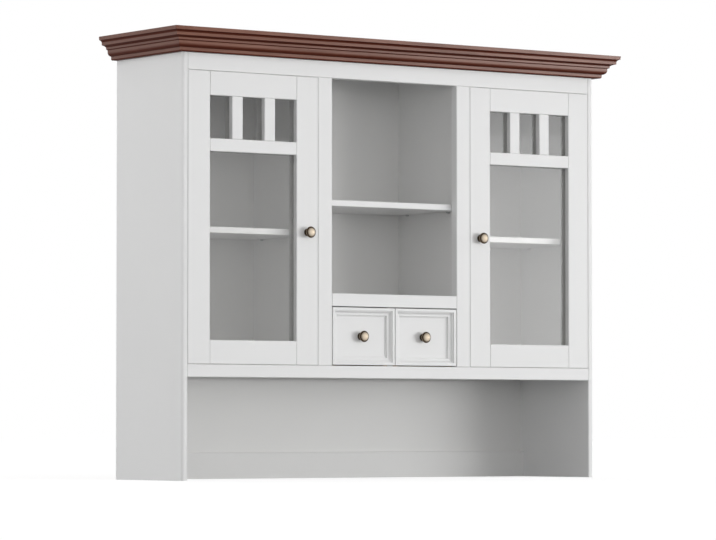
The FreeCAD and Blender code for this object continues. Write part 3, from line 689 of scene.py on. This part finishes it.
def plate_screw_places():
    """Two flush screws in each pivot plate, beside its pin."""
    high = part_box("pivot_plates")[1]
    faces = ((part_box("bottom_rail")[1].z, 1), (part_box("frieze_rail")[0].z, -1))
    places = []
    for name, side in SIDES.items():
        pin = middle_of(f"door_{name}_pivot_bushes")
        reach = (high.x - abs(pin.x)) * PLATE_SCREW_SHARE
        for face, way in faces:
            places += [(Vector((pin.x + across * reach, pin.y, face)), UP * way) for across in (1, -1)]
    return places


def top_screw_places():
    """Screws through the top board into the sides and partitions."""
    low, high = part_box("top_board")
    rows = spaced(low.y + TOP_SCREW_INSET, high.y - TOP_SCREW_INSET,
                  (high.y - low.y) / TOP_SCREW_COUNT)
    walls = [middle_of(f"{wall}_{name}").x for wall in ("side", "partition") for name in SIDES]
    return [(Vector((wall, row, high.z)), UP) for wall in walls for row in rows]


def back_nail_places():
    """Nails through the back panel into the floors, the partitions and the back rail."""
    low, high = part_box("back_panel")
    floor = middle_of("cabinet_floor")
    points = []
    for height in (middle_of("back_rail").z, floor.z):
        points += [(across, height)
                   for across in spaced(low.x + NAIL_END, high.x - NAIL_END, NAIL_PITCH)]
    for name in SIDES:
        wall = middle_of(f"partition_{name}").x
        points += [(wall, height)
                   for height in spaced(floor.z + NAIL_PITCH, high.z - NAIL_END, NAIL_PITCH)]
    niche_low, niche_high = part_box("niche_floor")
    points += [(across, middle_of("niche_floor").z)
               for across in spaced(niche_low.x + NAIL_PITCH, niche_high.x - NAIL_PITCH, NAIL_PITCH)]
    return [(Vector((across, high.y, height)), REAR) for across, height in points]


def strike_screw_places(body):
    """Two flush screws in a door's strike plate."""
    low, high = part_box(f"{body}_strike")
    middle = (low + high) / 2
    rise = (high.z - low.z) * STRIKE_SCREW_SHARE
    return [(Vector((middle.x, high.y, middle.z + way * rise)), REAR) for way in (1, -1)]


def front_screw_places(body):
    """Four screws from inside a drawer's box into its front."""
    low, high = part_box(f"{body}_box_ends")
    middle = (low + high) / 2
    across = (high.x - low.x) * FRONT_SCREW_SHARE
    rise = (high.z - low.z) * FRONT_SCREW_SHARE
    return [(Vector((middle.x + side * across, low.y + DRAWER_WALL, middle.z + way * rise)), REAR)
            for side in (1, -1) for way in (1, -1)]


def box_nail_places(body):
    """Nails through a drawer's sides into both of its ends."""
    low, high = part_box(f"{body}_box_sides")
    rows = (low.y + DRAWER_WALL / 2, high.y - DRAWER_WALL / 2)
    heights = spaced(low.z + NAIL_END, high.z - NAIL_END, (high.z - low.z) / DRAWER_NAIL_GAPS)
    return [(Vector((face, row, height)), RIGHT * way)
            for face, way in ((low.x, -1), (high.x, 1)) for row in rows for height in heights]


def knob_screw_places(body):
    """Head of the screw that holds a body's knob from behind."""
    low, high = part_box(f"{body}_knob")
    middle = (low + high) / 2
    return [(Vector((middle.x, high.y - KNOB_SCREW_RISE, middle.z)), REAR)]


def add_fixings(finish):
    """Screws and nails of every body."""
    crossed = fixing_tree("crossed_screw", True)
    plain = fixing_tree("plain_nail", False)
    screw = {"Head": SCREW_HEAD, "Rise": SCREW_RISE, "Recess": SCREW_RECESS}
    flush = {"Head": SCREW_HEAD, "Rise": FLUSH_RISE, "Recess": FLUSH_RECESS}
    clamp = {"Head": KNOB_SCREW_HEAD, "Rise": KNOB_SCREW_RISE, "Recess": KNOB_SCREW_RECESS}
    nail = {"Head": NAIL_HEAD, "Rise": NAIL_RISE}
    flat_nail = {"Head": NAIL_HEAD, "Rise": FLUSH_RISE}
    case_screw_places = catch_screw_places() + top_screw_places()
    fixings("case_screws", "case", case_screw_places, crossed, screw, finish)
    fixings("plate_screws", "case", plate_screw_places(), crossed, flush, finish)
    fixings("back_nails", "case", back_nail_places(), plain, nail, finish)
    for name in SIDES:
        door, drawer = f"door_{name}", f"drawer_{name}"
        fixings(f"{door}_strike_screws", door, strike_screw_places(door), crossed, flush, finish)
        fixings(f"{drawer}_front_screws", drawer, front_screw_places(drawer), crossed, screw,
                finish)
        fixings(f"{drawer}_nails", drawer, box_nail_places(drawer), plain, flat_nail, finish)
        for body in (door, drawer):
            fixings(f"{body}_knob_screw", body, knob_screw_places(body), crossed, clamp, finish)


def node_finishes():
    """Finish of each CAD node by its name, from the record's slots."""
    slots = {
        "painted_wood": sprayed_paint("satin_paint", PAINT_DEEP, PAINT_PALE, PAINT_ROUGHNESS),
        "painted_board": painted_board(),
        "glass": clear_glass(),
        "antique_brass": antique_brass(),
        "steel": zinc_steel(),
        "catch_plastic": moulded_plastic("catch_plastic", PLASTIC_DEEP, PLASTIC_PALE),
        # The beads' grey is painted shade for the rebate behind the glass
        "bead_plastic": moulded_plastic("bead_plastic", BEAD_SHADED_DEEP, BEAD_SHADED_PALE),
    }
    # The inner boards' deeper paint is painted shade for the inside of the case
    inner = sprayed_paint("inner_shaded_paint", INNER_SHADED_DEEP, INNER_SHADED_PALE, INNER_ROUGHNESS)
    stain_along = {axis: stained_wood(f"stained_wood_{axis.lower()}", axis) for axis in "XY"}
    pine_along = {axis: pine(f"pine_{axis.lower()}", axis) for axis in "XY"}
    finishes = {}
    for part in frame["record"]["subparts"]:
        node, slot = part["node"], part["material_slot"]
        if slot == "stained_wood":
            finishes[node] = stain_along["X" if node == "cornice_front" else "Y"]
        elif slot == "raw_pine":
            finishes[node] = pine_along["X" if node.endswith("_ends") else "Y"]
        elif slot == "painted_wood" and node.startswith(INNER_BOARDS):
            finishes[node] = inner
        else:
            finishes[node] = slots[slot]
    return finishes


def add_pieces():
    """Finish every node, then add the pieces that stand for the plainer nodes."""
    finishes = node_finishes()
    for node, finish in finishes.items():
        materials = frame["nodes"][node].data.materials
        materials.clear()
        materials.append(finish)
    for name in SIDES:
        door, drawer = f"door_{name}", f"drawer_{name}"
        knob(door, f"{door}_knob_stile", finishes[f"{door}_knob"])
        knob(drawer, f"{drawer}_front_panel", finishes[f"{drawer}_knob"])
    add_fixings(finishes["pivot_plates"])


def add_floor():
    """Wide pale floor under the hutch."""
    shape = bmesh.new()
    bmesh.ops.create_grid(shape, x_segments=1, y_segments=1, size=FLOOR_SIZE / 2)
    mesh = mesh_from("floor", shape)
    mesh.materials.append(floor_finish())
    object_from("floor", mesh)


def add_light():
    """Sky, brighter low down, and soft lamps. Rays that look at the sky see plain white."""
    world = bpy.data.worlds.new("studio")
    world.use_nodes = True
    world.node_tree.nodes.clear()
    nodes = Nodes(world.node_tree)
    way = nodes.node("ShaderNodeTexCoord")["Generated"]
    height = part_along(nodes, way, "Z")
    dome = SKY_LEVEL + HORIZON_LEVEL * (1.0 - height) ** HORIZON_FALL
    level = dome + (WHITE_LEVEL - dome) * seen_white(nodes)
    sky = nodes.node("ShaderNodeBackground", None, {"Color": WHITE, "Strength": level})
    nodes.node("ShaderNodeOutputWorld", None, {"Surface": sky})
    bpy.context.scene.world = world
    for name, (place, size, power) in LAMPS.items():
        lamp = bpy.data.lights.new(name, "AREA")
        lamp.shape = "RECTANGLE"
        lamp.size, lamp.size_y = size
        lamp.energy = power
        holder = bpy.data.objects.new(name, lamp)
        holder.location = place
        holder.rotation_euler = (LAMP_TARGET - place).to_track_quat("-Z", "Y").to_euler()
        bpy.context.scene.collection.objects.link(holder)


def add_camera():
    """Camera at the photograph's view."""
    camera = bpy.data.cameras.new("camera")
    camera.lens = CAMERA_LENS
    holder = bpy.data.objects.new("camera", camera)
    holder.location = CAMERA_PLACE
    holder.rotation_euler = (math.pi / 2 + CAMERA_PITCH, 0.0, -CAMERA_TURN)
    bpy.context.scene.collection.objects.link(holder)
    bpy.context.scene.camera = holder


bpy.context.scene.view_settings.view_transform = "Standard"
add_camera()
add_light()
add_floor()
add_pieces()
